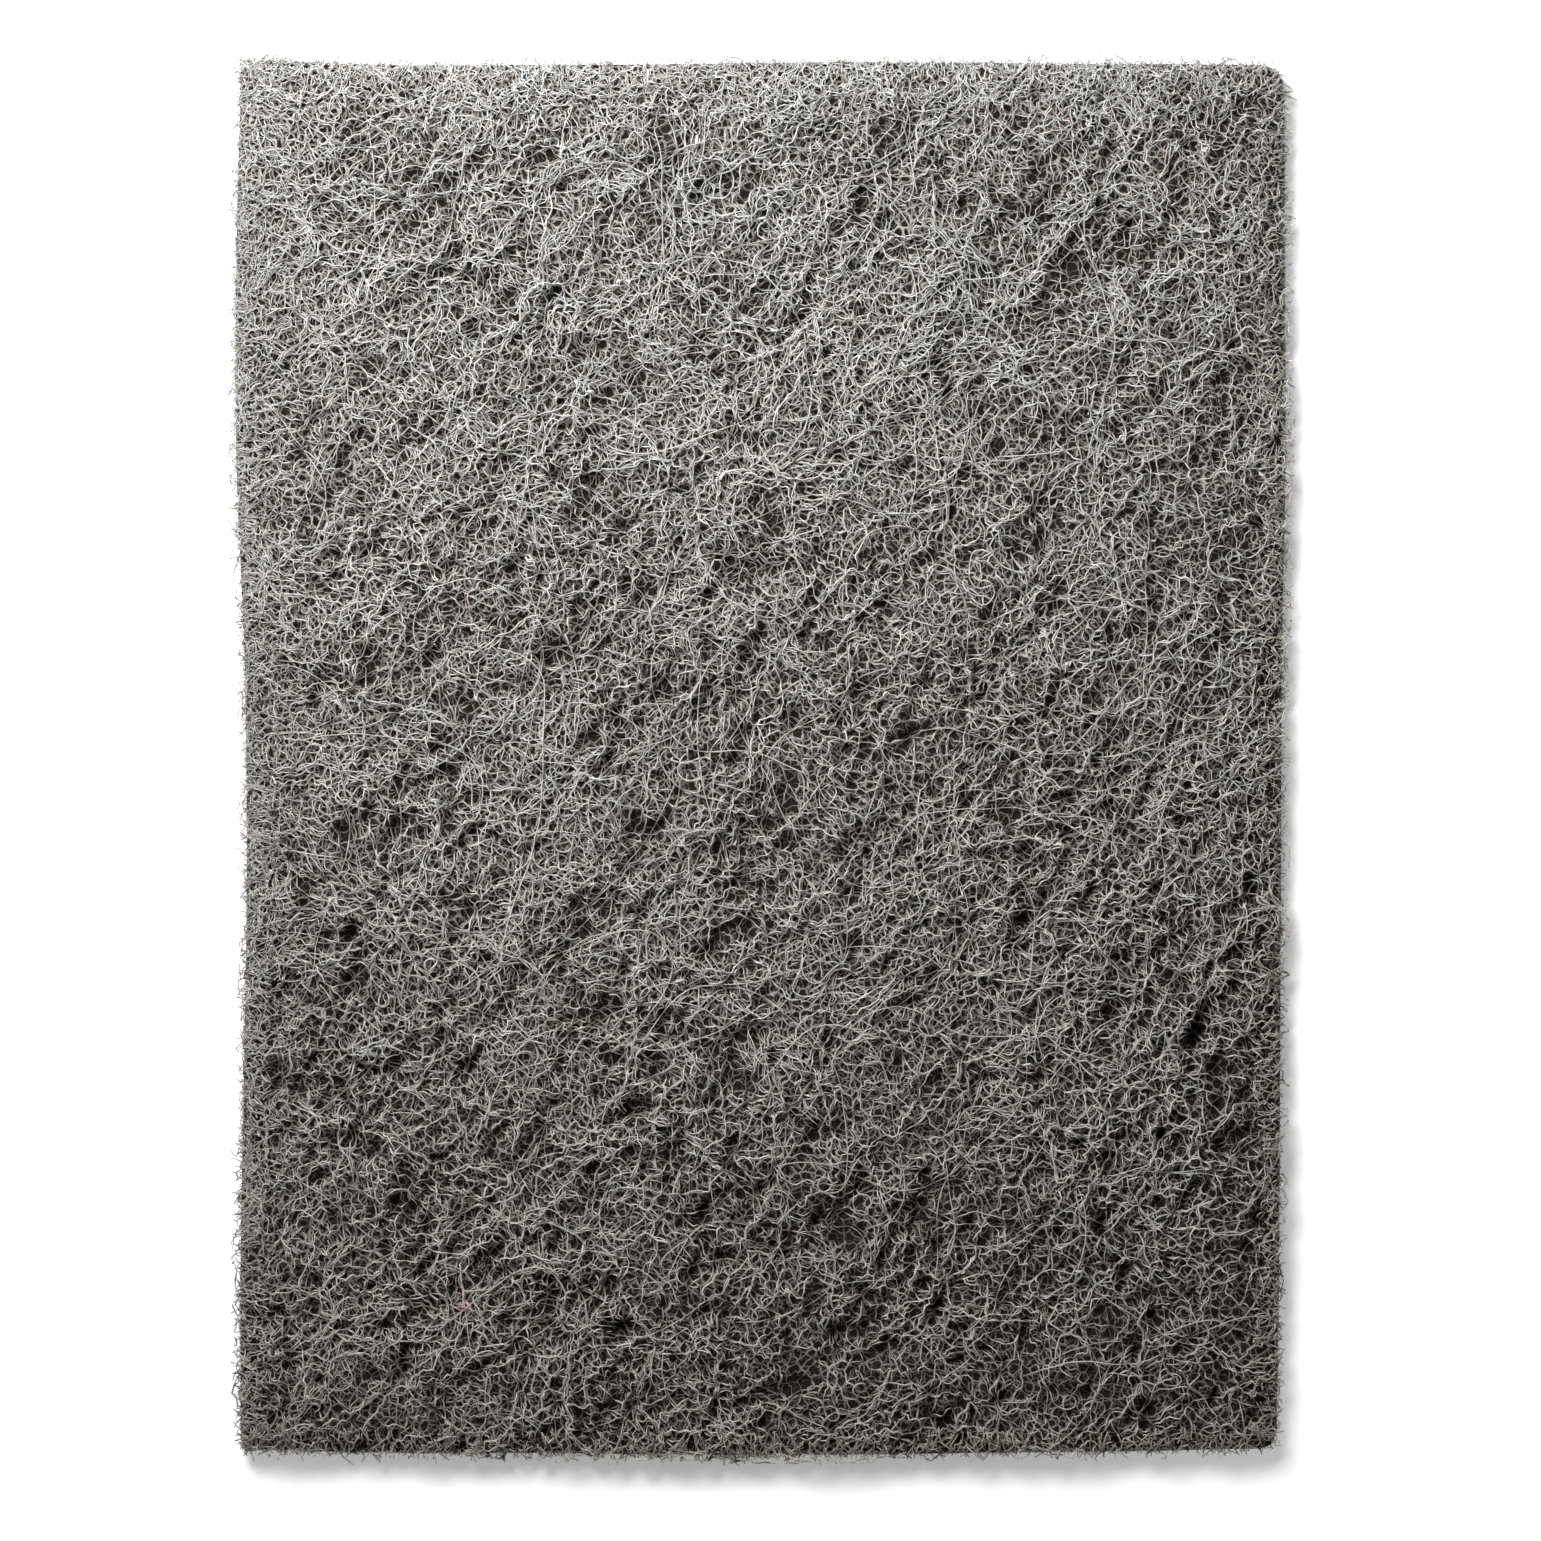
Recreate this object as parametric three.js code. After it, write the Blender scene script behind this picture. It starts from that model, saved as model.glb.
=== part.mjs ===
// Abrasive fleece pad: a flat hand pad cut from a springy mat of crimped, resin-bonded fibres.
// Millimetres, +Z up. The pad lies on Z = 0 with its width along X and its length along Y,
// and the origin is at the centre of its underside.
import * as THREE from 'three';

// Cut size and loft
const PAD_WIDTH = 115;
const PAD_LENGTH = 153.5;
const PAD_THICKNESS = 7.5; // from the underside to the tallest tuft

// Section of the cut edge, from the underside up
const FOOT_INSET = 0.8; // the underside stops this far short of the widest line
const WIDEST_HEIGHT = 1.4; // height of the widest line
const CUT_HEIGHT = 3.2; // where the cut ends and the top face starts to roll over it
const CUT_LEAN = 0.5; // the cut leans in by this much from its widest line to its top
const EDGE_ROLL = 6.5; // width of the rolled band between the cut and the level top face

// Plan radius of each corner: the cut was square, and one corner has worn rounder
const BACK_LEFT_RADIUS = 1.2;
const BACK_RIGHT_RADIUS = 3.2;
const FRONT_RIGHT_RADIUS = 2.2;
const FRONT_LEFT_RADIUS = 1.4;

// How far the freehand cut wanders outwards from a straight line, at even steps along each side
const LEFT_SWAY = [0.1, 0.1, -0.3, -0.6, -0.3, 0.6, 0.6, 0.1]; // from front to back
const RIGHT_SWAY = [-0.6, -0.3, -0.2, -0.1, 0, 0.4, 0.3, 0.3]; // from front to back
const FRONT_SWAY = [-0.4, 0, 0, 0.2, 0.2, 0, -0.2, -0.5]; // from left to right
const BACK_SWAY = [0.4, -0.2, -0.2, -0.1, 0.1, 0, -0.1, -0.2]; // from left to right

// Tufts: bundles of fibres that stand proud of the top face and lie mostly along the grain
const GRAIN_ANGLE = THREE.MathUtils.degToRad(45); // above +X
const TUFT_TURN = THREE.MathUtils.degToRad(55); // furthest that a tuft turns from the grain
const TUFT_SPACING = 6.5;
const TUFT_HALF_LENGTH = 5;
const TUFT_HALF_WIDTH = 1.9;
const TUFT_HEIGHT = 0.8;

// Pores: open places between the bundles, scattered over the whole top face
const PORE_SPACING = 6.5;
const PORE_RADIUS = 1.7;
const PORE_DEPTH = 1.1;

// The deepest pores, each as its place on the pad, its radius and its depth
const DEEP_PORES = [
  { x: -53, y: -11.5, radius: 2.4, depth: 2 },
  { x: -52.5, y: -27, radius: 2.8, depth: 2.2 },
  { x: -43.5, y: -28, radius: 2.4, depth: 2.2 },
  { x: -15, y: 66, radius: 2.2, depth: 2 },
  { x: -6.5, y: 61, radius: 2, depth: 2 },
  { x: 1.5, y: 59.5, radius: 1.8, depth: 1.6 },
  { x: -22, y: 50.5, radius: 2.4, depth: 2 },
  { x: -46.5, y: 51.5, radius: 1.8, depth: 1.6 },
  { x: 15, y: 65.5, radius: 2.2, depth: 1.8 },
  { x: -6.5, y: 5, radius: 2.2, depth: 2 },
  { x: 2, y: 2.5, radius: 2.2, depth: 1.8 },
  { x: 51.5, y: -3.5, radius: 2, depth: 1.8 },
  { x: -35.5, y: 10.5, radius: 2.2, depth: 1.8 },
  { x: -41.5, y: 1.5, radius: 2.6, depth: 1.8 },
  { x: 35.5, y: 30.5, radius: 2.4, depth: 1.6 },
  { x: 23, y: 37, radius: 1.8, depth: 1.6 },
  { x: 38, y: -31, radius: 2, depth: 1.8 },
  { x: 43.5, y: -22, radius: 2.2, depth: 1.6 },
  { x: -7.5, y: -30.5, radius: 2, depth: 1.8 },
  { x: 9.5, y: -40.5, radius: 2, depth: 1.8 },
  { x: 27, y: -43.5, radius: 1.8, depth: 1.6 },
  { x: 4.5, y: -53.5, radius: 3.4, depth: 2.2 },
  { x: 37.5, y: -58, radius: 3.2, depth: 2.2 },
  { x: 50, y: -68, radius: 2.4, depth: 2 },
  { x: -43.5, y: -58, radius: 2.2, depth: 1.8 },
];

// Fineness of the surface
const GRID_PITCH = 2.2; // spacing of the surface points on the level top face
const ROLL_STEPS = 4; // steps of the surface across the rolled band
const UNDERSIDE_MARGIN = 12; // width of the band of the underside that fans out to the cut

const HALF_WIDTH = PAD_WIDTH / 2;
const HALF_LENGTH = PAD_LENGTH / 2;

// A repeatable stream of numbers from 0 to 1
function makeRandom(seed) {
  let state = seed;
  return () => {
    state = (state * 1664525 + 1013904223) % 4294967296;
    return state / 4294967296;
  };
}

// Places scattered over the pad, one somewhere in each square of the given size
function scatterPlaces(spacing, random) {
  const places = [];
  for (let y = -HALF_LENGTH; y < HALF_LENGTH; y += spacing) {
    for (let x = -HALF_WIDTH; x < HALF_WIDTH; x += spacing) {
      places.push({ x: x + spacing * random(), y: y + spacing * random() });
    }
  }
  return places;
}

function makeTufts() {
  const random = makeRandom(11);
  return scatterPlaces(TUFT_SPACING, random).map((place) => ({
    ...place,
    angle: GRAIN_ANGLE + TUFT_TURN * (2 * random() - 1),
    halfLength: TUFT_HALF_LENGTH * (0.6 + 0.8 * random()),
    halfWidth: TUFT_HALF_WIDTH * (0.8 + 0.4 * random()),
    height: TUFT_HEIGHT * (0.4 + 0.6 * random()),
  }));
}

function makePores() {
  const random = makeRandom(29);
  const small = scatterPlaces(PORE_SPACING, random).map((place) => ({
    ...place,
    radius: PORE_RADIUS * (0.7 + 0.6 * random()),
    depth: PORE_DEPTH * (0.3 + 0.7 * random()),
  }));
  return [...small, ...DEEP_PORES];
}

// Height of the tufts and pores together at a place on the pad
function reliefAt(x, y, tufts, pores) {
  let height = 0;
  for (const tuft of tufts) {
    const alongX = Math.cos(tuft.angle);
    const alongY = Math.sin(tuft.angle);
    const along = ((x - tuft.x) * alongX + (y - tuft.y) * alongY) / tuft.halfLength;
    const across = ((y - tuft.y) * alongX - (x - tuft.x) * alongY) / tuft.halfWidth;
    height += tuft.height * Math.exp(-along * along - across * across);
  }
  for (const pore of pores) {
    const distance = Math.hypot(x - pore.x, y - pore.y) / pore.radius;
    height -= pore.depth * Math.exp(-distance * distance);
  }
  return height;
}

// Share of the full loft at a distance from the top of the cut: a quarter ellipse
function rollShare(distance) {
  const left = 1 - Math.min(distance / EDGE_ROLL, 1);
  return Math.sqrt(1 - left * left);
}

// Surface lines from one cut edge to the other: close together on the rolled bands, even between
function surfaceLines(half) {
  const cutTop = half - CUT_LEAN;
  const level = cutTop - EDGE_ROLL;
  const levelSteps = Math.max(1, Math.round((2 * level) / GRID_PITCH));
  const lines = [];
  for (let i = 0; i < ROLL_STEPS; i++) {
    const turn = (Math.PI / 2) * (i / ROLL_STEPS);
    lines.push(-cutTop + EDGE_ROLL * (1 - Math.cos(turn)));
  }
  const farLines = lines.map((line) => -line).reverse();
  for (let i = 0; i <= levelSteps; i++) {
    lines.push(-level + 2 * level * (i / levelSteps));
  }
  return [...lines, ...farLines];
}

function makeSway(offsets) {
  const curve = new THREE.SplineCurve(offsets.map((offset, i) => new THREE.Vector2(i, offset)));
  return (share) => curve.getPoint(THREE.MathUtils.clamp(share, 0, 1)).y;
}

const leftSway = makeSway(LEFT_SWAY);
const rightSway = makeSway(RIGHT_SWAY);
const frontSway = makeSway(FRONT_SWAY);
const backSway = makeSway(BACK_SWAY);

function cornerRadius(x, y) {
  if (y > 0) {
    return x > 0 ? BACK_RIGHT_RADIUS : BACK_LEFT_RADIUS;
  }
  return x > 0 ? FRONT_RIGHT_RADIUS : FRONT_LEFT_RADIUS;
}

// Where a point of the straight-sided rectangle lies on the real pad:
// the square of each corner is drawn in to a quarter disc, and then the sides wander
function toCutPlan(x, y) {
  const radius = cornerRadius(x, y);
  const cornerX = (Math.abs(x) - (HALF_WIDTH - radius)) / radius;
  const cornerY = (Math.abs(y) - (HALF_LENGTH - radius)) / radius;
  let planX = x;
  let planY = y;
  if (cornerX > 0 && cornerY > 0) {
    planX -= Math.sign(x) * radius * cornerX * (1 - Math.sqrt(1 - (cornerY * cornerY) / 2));
    planY -= Math.sign(y) * radius * cornerY * (1 - Math.sqrt(1 - (cornerX * cornerX) / 2));
  }
  const shareX = (x + HALF_WIDTH) / PAD_WIDTH;
  const shareY = (y + HALF_LENGTH) / PAD_LENGTH;
  planX += shareX * rightSway(shareY) - (1 - shareX) * leftSway(shareY);
  planY += shareY * backSway(shareX) - (1 - shareY) * frontSway(shareX);
  return { x: planX, y: planY };
}

// Points of the rolled and tufted top face, row by row from front to back
function topFacePoints(linesX, linesY) {
  const tufts = makeTufts();
  const pores = makePores();
  const nodes = [];
  for (const y of linesY) {
    for (const x of linesX) {
      const shareX = rollShare(HALF_WIDTH - CUT_LEAN - Math.abs(x));
      const shareY = rollShare(HALF_LENGTH - CUT_LEAN - Math.abs(y));
      nodes.push({ x, y, loft: shareX * shareY, relief: reliefAt(x, y, tufts, pores) });
    }
  }
  const crest = Math.max(...nodes.map((node) => node.relief));
  return nodes.map(({ x, y, loft, relief }) => {
    const plan = toCutPlan(x, y);
    const rise = PAD_THICKNESS - CUT_HEIGHT + relief - crest;
    return new THREE.Vector3(plan.x, plan.y, CUT_HEIGHT + loft * rise);
  });
}

// The top face's rim as the four sides of its grid, counter-clockwise from above,
// each side listing its points from one corner to the next
function rimSides(columns, rows) {
  const lastColumn = columns - 1;
  const lastRow = rows - 1;
  const front = [];
  const back = [];
  const left = [];
  const right = [];
  for (let i = 0; i <= lastColumn; i++) {
    front.push([i, 0]);
    back.push([lastColumn - i, lastRow]);
  }
  for (let j = 0; j <= lastRow; j++) {
    right.push([lastColumn, j]);
    left.push([0, lastRow - j]);
  }
  return [front, right, back, left];
}

function makePadGeometry() {
  const linesX = surfaceLines(HALF_WIDTH);
  const linesY = surfaceLines(HALF_LENGTH);
  const columns = linesX.length;
  const rows = linesY.length;
  const points = topFacePoints(linesX, linesY);
  const triangles = [];

  // Top face, each cell split along the grain
  for (let j = 0; j + 1 < rows; j++) {
    for (let i = 0; i + 1 < columns; i++) {
      const corner = j * columns + i;
      triangles.push(corner, corner + 1, corner + columns + 1);
      triangles.push(corner, corner + columns + 1, corner + columns);
    }
  }

  // Cut edge: the rim of the top face joined to its widest line, and that to the foot
  const sides = rimSides(columns, rows);
  const rim = sides.flatMap((side) => side.slice(0, -1));
  const addRing = (inset, height) => {
    const start = points.length;
    const stretchX = (HALF_WIDTH - inset) / (HALF_WIDTH - CUT_LEAN);
    const stretchY = (HALF_LENGTH - inset) / (HALF_LENGTH - CUT_LEAN);
    for (const [i, j] of rim) {
      const plan = toCutPlan(linesX[i] * stretchX, linesY[j] * stretchY);
      points.push(new THREE.Vector3(plan.x, plan.y, height));
    }
    return rim.map((_, k) => start + k);
  };
  const joinRings = (lower, upper) => {
    for (let k = 0; k < rim.length; k++) {
      const next = (k + 1) % rim.length;
      triangles.push(lower[k], lower[next], upper[next]);
      triangles.push(lower[k], upper[next], upper[k]);
    }
  };
  const cutTop = rim.map(([i, j]) => j * columns + i);
  const widest = addRing(0, WIDEST_HEIGHT);
  const foot = addRing(FOOT_INSET, 0);
  joinRings(widest, cutTop);
  joinRings(foot, widest);

  // Underside: one flat rectangle, with fans from its corners out to the foot
  const insideX = HALF_WIDTH - UNDERSIDE_MARGIN;
  const insideY = HALF_LENGTH - UNDERSIDE_MARGIN;
  const firstCorner = points.length;
  points.push(
    new THREE.Vector3(-insideX, -insideY, 0),
    new THREE.Vector3(insideX, -insideY, 0),
    new THREE.Vector3(insideX, insideY, 0),
    new THREE.Vector3(-insideX, insideY, 0),
  );
  triangles.push(firstCorner, firstCorner + 2, firstCorner + 1);
  triangles.push(firstCorner, firstCorner + 3, firstCorner + 2);
  let first = 0;
  sides.forEach((side, s) => {
    const near = firstCorner + s;
    const far = firstCorner + ((s + 1) % sides.length);
    const steps = side.length - 1;
    const middle = Math.floor(steps / 2);
    const footAt = (k) => foot[(first + k) % foot.length];
    for (let k = 0; k < steps; k++) {
      triangles.push(footAt(k + 1), footAt(k), k < middle ? near : far);
    }
    triangles.push(near, far, footAt(middle));
    first += steps;
  });

  const geometry = new THREE.BufferGeometry().setFromPoints(points);
  geometry.setIndex(triangles);
  geometry.computeBoundingBox();
  const centre = geometry.boundingBox.getCenter(new THREE.Vector3());
  geometry.translate(-centre.x, -centre.y, 0);
  geometry.computeVertexNormals();
  return geometry;
}

function makeFleecePad() {
  const material = new THREE.MeshStandardMaterial({ color: 0x75716b, roughness: 0.95, metalness: 0 });
  const pad = new THREE.Mesh(makePadGeometry(), material);
  pad.name = 'fleece_pad';
  return pad;
}

const part = new THREE.Group();
part.add(makeFleecePad());

export default part;
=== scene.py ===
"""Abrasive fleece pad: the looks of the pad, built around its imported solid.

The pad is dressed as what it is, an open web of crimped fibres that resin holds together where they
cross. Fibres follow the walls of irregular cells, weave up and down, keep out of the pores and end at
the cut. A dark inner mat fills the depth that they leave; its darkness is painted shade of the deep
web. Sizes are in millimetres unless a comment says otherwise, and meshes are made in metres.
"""

import math

import bpy
import numpy as np
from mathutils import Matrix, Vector
from mathutils.bvhtree import BVHTree
from mathutils.geometry import delaunay_2d_cdt


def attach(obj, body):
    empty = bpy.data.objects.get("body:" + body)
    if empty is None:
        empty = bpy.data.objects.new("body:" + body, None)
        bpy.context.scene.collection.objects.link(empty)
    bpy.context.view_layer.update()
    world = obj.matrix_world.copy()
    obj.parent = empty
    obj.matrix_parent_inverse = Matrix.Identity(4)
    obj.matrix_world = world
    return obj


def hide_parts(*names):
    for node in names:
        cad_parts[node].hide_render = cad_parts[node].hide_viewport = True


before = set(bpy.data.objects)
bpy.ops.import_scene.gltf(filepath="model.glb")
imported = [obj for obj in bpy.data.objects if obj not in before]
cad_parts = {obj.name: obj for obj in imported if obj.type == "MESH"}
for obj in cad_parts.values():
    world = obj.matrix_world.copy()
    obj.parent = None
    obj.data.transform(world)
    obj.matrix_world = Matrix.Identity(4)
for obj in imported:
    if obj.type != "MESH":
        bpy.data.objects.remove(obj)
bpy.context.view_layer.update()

MM = 0.001  # in metres
TINY = 1e-9
UP = (0.0, 0.0, 1.0)
DOWN = (0.0, 0.0, -1.0)
NODE = "fleece_pad"
MAP_NAME = "OFBake"
MAP_EDGE = 0.15  # free edge of a face's square on the map

# Grids on which places on the pad are looked up, and how far they reach past the cut
GRID_PITCH = 0.4
FINE_PITCH = 0.2
GRID_MARGIN = 6.0
GRID_END = 1.001  # keeps a place before a grid's last point
SLOPE_STEP = 0.05  # to either side, for the way into the pad
RAY_HEIGHT = 50.0  # where rays down to the pad start
WELD_DIGITS = 4  # to which vertices agree that are one
MERGE_REACH = 1e-6  # within which points are one to a triangulation
BELL_REACHES = 3  # where a bell curve is cut off

# The same for the cut side, along it and up
WALL_PITCH = 0.8
WALL_ROWS = 16
WALL_FOOT = 0.1
WALL_TOP = 5.2
WALL_DISTANCE = 8.0  # from the outline to where rays to it start
WALL_SWING = 0.6  # how far it lies at most from its usual place at a height

# Cells of the web
GRAIN_ANGLE = math.radians(49)  # the web's main direction, above +X
CELL_STRETCH = 1.15  # how much longer a cell is along the grain
CELL_JITTER = 0.90  # how far a cell's centre strays, as a share of the spacing
CELLS_MISSING = 0.05  # share of the cells that are one with a neighbour
CELL_ROW = math.sqrt(0.75)  # height of a row of cells, over their spacing
CELL_SURPLUS = 1.5  # rows laid out, over what the spacing alone needs
NET_MARGIN = 8.0  # how far the nets reach past the pad
WALL_NET_MARGIN = 3.0  # the same above and below the cut side

# Fibres that follow the cells
FIBRE_STEPS = 48  # crossings that a fibre passes
TURN_CHANCE = 0.55  # how readily a fibre takes a way off its heading
HEADING_DRIFT = 0.22  # change of heading at each crossing, radians
EASING = (0.03, 0.22)  # how far a fibre cuts its corners
SIDES = 3  # of a fibre
STRAY = 0.10  # how far a fibre lies from the middle of a cell's wall
WANDER = 0.18  # how far a whole stretch of it strays from the walls
WANDER_KEPT = 0.8  # share of that left at the next crossing
WANDER_LOST = 0.6  # share of that which the most open corner lacks
NET_SWAY = (0.3, 0.4)  # how far a fibre rises and sinks, and the share left at the next crossing
NET_SWELL = (0.75, 1.25)  # how its radius varies

# Crossings that resin holds
BONDED_SHARE = 0.30
BOND_SLACK = 0.3  # share of a fibre's own depth that it keeps there
BOND_SWELL = 1.3  # how much thicker it is there
BOND_PALENESS_AND_GLINT = 1.06  # and how much paler, partly for resin and partly as a painted glint

# Fibres that curve freely
CURVE_STEPS = 30
CURVE_KEPT = 0.75  # share of a bend left at the next step
STRAND_SWAY = (0.4, 0.6)  # as NET_SWAY, on the face
STRAND_SWELL = (0.9, 1.1)
UNDER_INSET = 0.8  # of those on the underside, from the cut
UNDER_SWAY = (0.12, 0.5)  # as NET_SWAY

# Pores between the bundles
PORE_SEED = 5
PORE_SPACING = 6.5
PORE_STRETCH = (1.0, 1.9)  # how much longer a pore is than wide
PORE_TURN = 0.7  # spread of its direction round the grain's, radians
PORE_STRENGTH = (0.4, 1.0)
PORE_RADIUS = (0.32, 0.65)
PORE_REACHES = 3  # radii, past which a pore counts for nothing
PORE_DEPTH = 1.2
PORE_RAGGED = 0.5  # how far the clumps change a pore

# Clumps of the web: reach, strength, and how much longer a clump is than wide
CLUMPS = ((0.18, 0.8, 1.3), (0.32, 1.1, 1.5), (0.5, 1.05, 1.9), (1.1, 0.85, 2.4), (2.4, 0.70, 2.8))
CLUMP_SEED = 6
CLUMP_ANGLE = math.radians(58)  # of the clumps, above +X
CLUMP_EVENED = 3  # reaches, over which the web is even again
CLUMP_PULL = 0.05  # how far a clump draws cells in
CLUMP_SLOPE_STEP = 0.2  # to either side, for the way into a clump
CLUMP_SINK = 1.02  # how far the web sinks between the clumps
DEEPEST_SINK = 2.0  # what that comes to at most, before it is scaled

# How the web changes over the pad, from its middle to its edges
OPEN_TO_X = 0.25  # openness gained towards +X
OPEN_TO_Y = 0.42  # and lost towards +Y
FAR_SLOPE = 0.6  # how fast the far sides take over, towards +X and -Y
UNEVEN_MIDDLE = 0.93
UNEVEN_TO_Y = 0.16  # unevenness lost towards +Y
UNEVEN_FINE = 0.55  # and where the web is fine
SPARSE_UPPER = 0.10  # share of the upper fibres missing in the most open corner
SPARSE_MIDDLE = 0.35  # and of the deeper ones
SPARSE_PORES = 0.75  # share of the upper fibres missing in a full pore
SPARSE_FINE = 0.9  # and where the web is fine
SPARSE_FINE_MIDDLE = 0.3  # share of the deeper ones missing there
GAP_GAIN = 20.0  # length over which a whole share of fibres goes missing

# The face near the cut
RIM_WIDTH = 10.0  # band along the cut where the web is fine and even
RIM_SINK = 0.4  # how far the coarser fibres sink there
FACE_HOLD = 0.9  # how far from the cut the face stops rolling down
OVERHANG = (0.32, 0.25)  # how far its fibres stand out past the cut: mean and spread
STAND_UP = 0.2  # how far a fibre rises above the face at most
FACE_LOWEST = 0.3  # height of the face's fibres at least
FLOOR_CLEARANCE = 0.2  # height of the middle of any other fibre at least
SIDE_FOOT = 0.15  # where the fibres of the cut side end
SIDE_RAGGED = 0.1  # and how unevenly

# Fibre ends that stand out of the cut side
ENDS = 3600  # short ones
HAIRS = 24  # long ones, beside those at set places
HAIR_PLACES = ((-53.5, 78.0), (-46.6, 77.5), (-28.4, 77.3), (-58.9, 63.1),
               (-47.1, -77.6), (-37.2, -77.0), (58.1, 73.3), (58.3, 23.9))
# Tufts of them: place, number of ends and spread along the cut
TUFTS = (((-55.1, 77.1), 40, 0.9), ((-57.4, -75.9), 30, 0.6), ((-52.0, -77.0), 25, 1.0))
END_ROOT = 0.6  # how far inside the cut they start
END_REACH = (0.2, 0.18)  # how far the short ones stand out: mean and spread
HAIR_REACH = (0.7, 1.4)
END_LEAN = 0.7  # spread of how far they lean, as a share of their length
END_BEND = 0.35  # and of how far they bend
END_SWING = np.array([1.0, 0.5])  # shares of both along the cut and up
END_FOOT = 0.3  # height of the lowest root
END_HEIGHTS = (0.2, 7.0)
END_RADIUS = (0.055, 0.085)
END_TAPER = np.array([1.0, 1.0, 0.95, 0.75])

# Colours of the fibres, as linear red, green and blue, and hues that change them by these shares
BASE_TINT = np.array([0.47, 0.458, 0.433])
TINT_LIMITS = (0.02, 0.8)
OWN_SHADE = 0.07  # spread of the shade from fibre to fibre
SHADE = (0.10, 0.4)  # spread along each, and the share of it that is left at the next step
OWN_WARMTH = 0.014  # the same for a warm hue
WARMTH = (0.018, 0.5)
WARM_HUE = np.array([1.0, 0.0, -1.2])
GREEN = (0.018, 0.5)  # and for a green one
GREEN_HUE = np.array([-0.5, 0.5, -0.5])
SPECK_RARITY = 3.1  # of reddish specks, in spreads of the noise
SPECK_KEPT = 0.6
SPECK_HUE = np.array([0.15, -0.15, -0.22])
STAIN = (-32.8, -59.9, 1.4)  # x, y and reach of a reddish spot
STAIN_HUE = np.array([0.15, -0.19, -0.22])
BROWN_HUE = np.array([0.018, -0.004, -0.03])
RIM_DULLNESS = 0.08  # lost where the web is fine
RIM_PAINTED_LIGHT = 0.16  # painted light gained there along the side at +Y, which faces the key lamp
DEPTH_SHADE = 0.55  # painted shade: what the deepest fibres lose of their colour at the pad's middle
DEPTH_SHADE_TO_Y = 0.19  # less of that painted shade towards +Y, nearer the key lamp, and more towards -Y
DEPTH_START = 0.2  # where that sets in, below the face
DEPTH_SPAN = 1.7  # and over which depth
# painted warmth of light bounced among the deep fibres
DEPTH_BOUNCE_HUE = np.array([0.96, 1.0, 1.08])
CUT_PAINTED_LEVELS = (0.62, 0.74)  # painted light and shade: how dull the cut side is at the near sides, which the key lamp strikes, and at the far sides, which lie in shade
END_PAINTED_LEVELS = (0.64, 0.80)  # and the ends that stand out of it
# painted warm bounce light on the far sides, which lie in shade
FAR_BOUNCE_HUE = np.array([0.05, 0.0, -0.10])

# The inner mat
CORE_DEPTH = 1.25
CORE_RIM_DEPTH = 0.5
CORE_RIM_WIDTH = 5.0  # over which it reaches its full depth
CORE_DIP_WIDTH = 2.0  # over which it takes on the hollows
CORE_INSET = 0.2
CORE_RIM_HEIGHT = 1.5
CORE_LOW = 0.7  # height of its underside
CORE_PITCH = 0.72
CORE_LOW_PITCH = 5.0  # of the underside, which is plain
CORE_OPEN_SHADE = 0.4  # painted shade: how sunk it looks at least in the most open corner
CORE_MAP_SIZE = np.array([0.48, 0.98])
CORE_MAP_EDGE = 0.01
CORE_MAP_SHIFT = 0.5  # of the underside, beside the top

# The material of the fibres, with grain scales to a metre and bump heights in metres
GRAIN_SCALE = 5000.0
GRAIN_LEVELS = (0.9, 1.1)
GRAIN_RELIEF = (0.2, 0.00003)  # strength and height
FIBRE_ROUGHNESS = (0.75, 0.5)
FIBRE_SPECULAR = 0.2

# The material of the inner mat, in the same units: layers of lines as cells to a metre and paleness,
# lower for the deeper layers as painted shade
FELT_LAYERS = ((820.0, 1.0), (1000.0, 0.68), (1250.0, 0.34))
FELT_LINE = (0.03, 0.094)  # where a line starts to fade and ends, as a share of a cell
FELT_BEND_SCALE = 900.0
FELT_BEND = 0.0011
FELT_HOLLOW_SHADE = 0.58  # painted shade: what the layers lose of their paleness in the hollows
# The felt is duller than the fibres above and its gaps near black: painted shade of the deep web
FELT_COLOUR = (0.30, 0.287, 0.265, 1)
FELT_GAP_SHADE_COLOUR = (0.012, 0.0096, 0.0073, 1)
FELT_RELIEF = (0.7, 0.00015)
FELT_ROUGHNESS = (0.95, 0.8)
FELT_SPECULAR = 0.05

# The floor, in metres
FLOOR_HALF = 1.5
FLOOR_DROP = 0.0001  # below the pad
FLOOR_COLOUR = (0.94, 0.94, 0.94, 1)
FLOOR_ROUGHNESS = 0.9
FLOOR_GLOW = (0.27, 1.0)  # how white it looks near the pad and away from it
FLOOR_GLOW_REACH = (0.075, 0.25)
WORLD_GLOW = (0.07, 1.0)  # light on the pad, and how white the background looks
WHITE = (1, 1, 1, 1)

CAMERA_LENS = 150.0
SENSOR_WIDTH = 36.0
FRAME_WIDTH = 169.75  # what the picture's width spans at the pad
FRAME_LEVEL = 1.4  # height at which it does
FRAME_SHIFT = (1.1, -1.45)


def smooth_step(t):
    t = np.clip(t, 0.0, 1.0)
    return t * t * (3 - 2 * t)


def turned_to(angle, x, y):
    """How far places lie along a direction and across it."""
    return math.cos(angle) * x + math.sin(angle) * y, math.cos(angle) * y - math.sin(angle) * x


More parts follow.
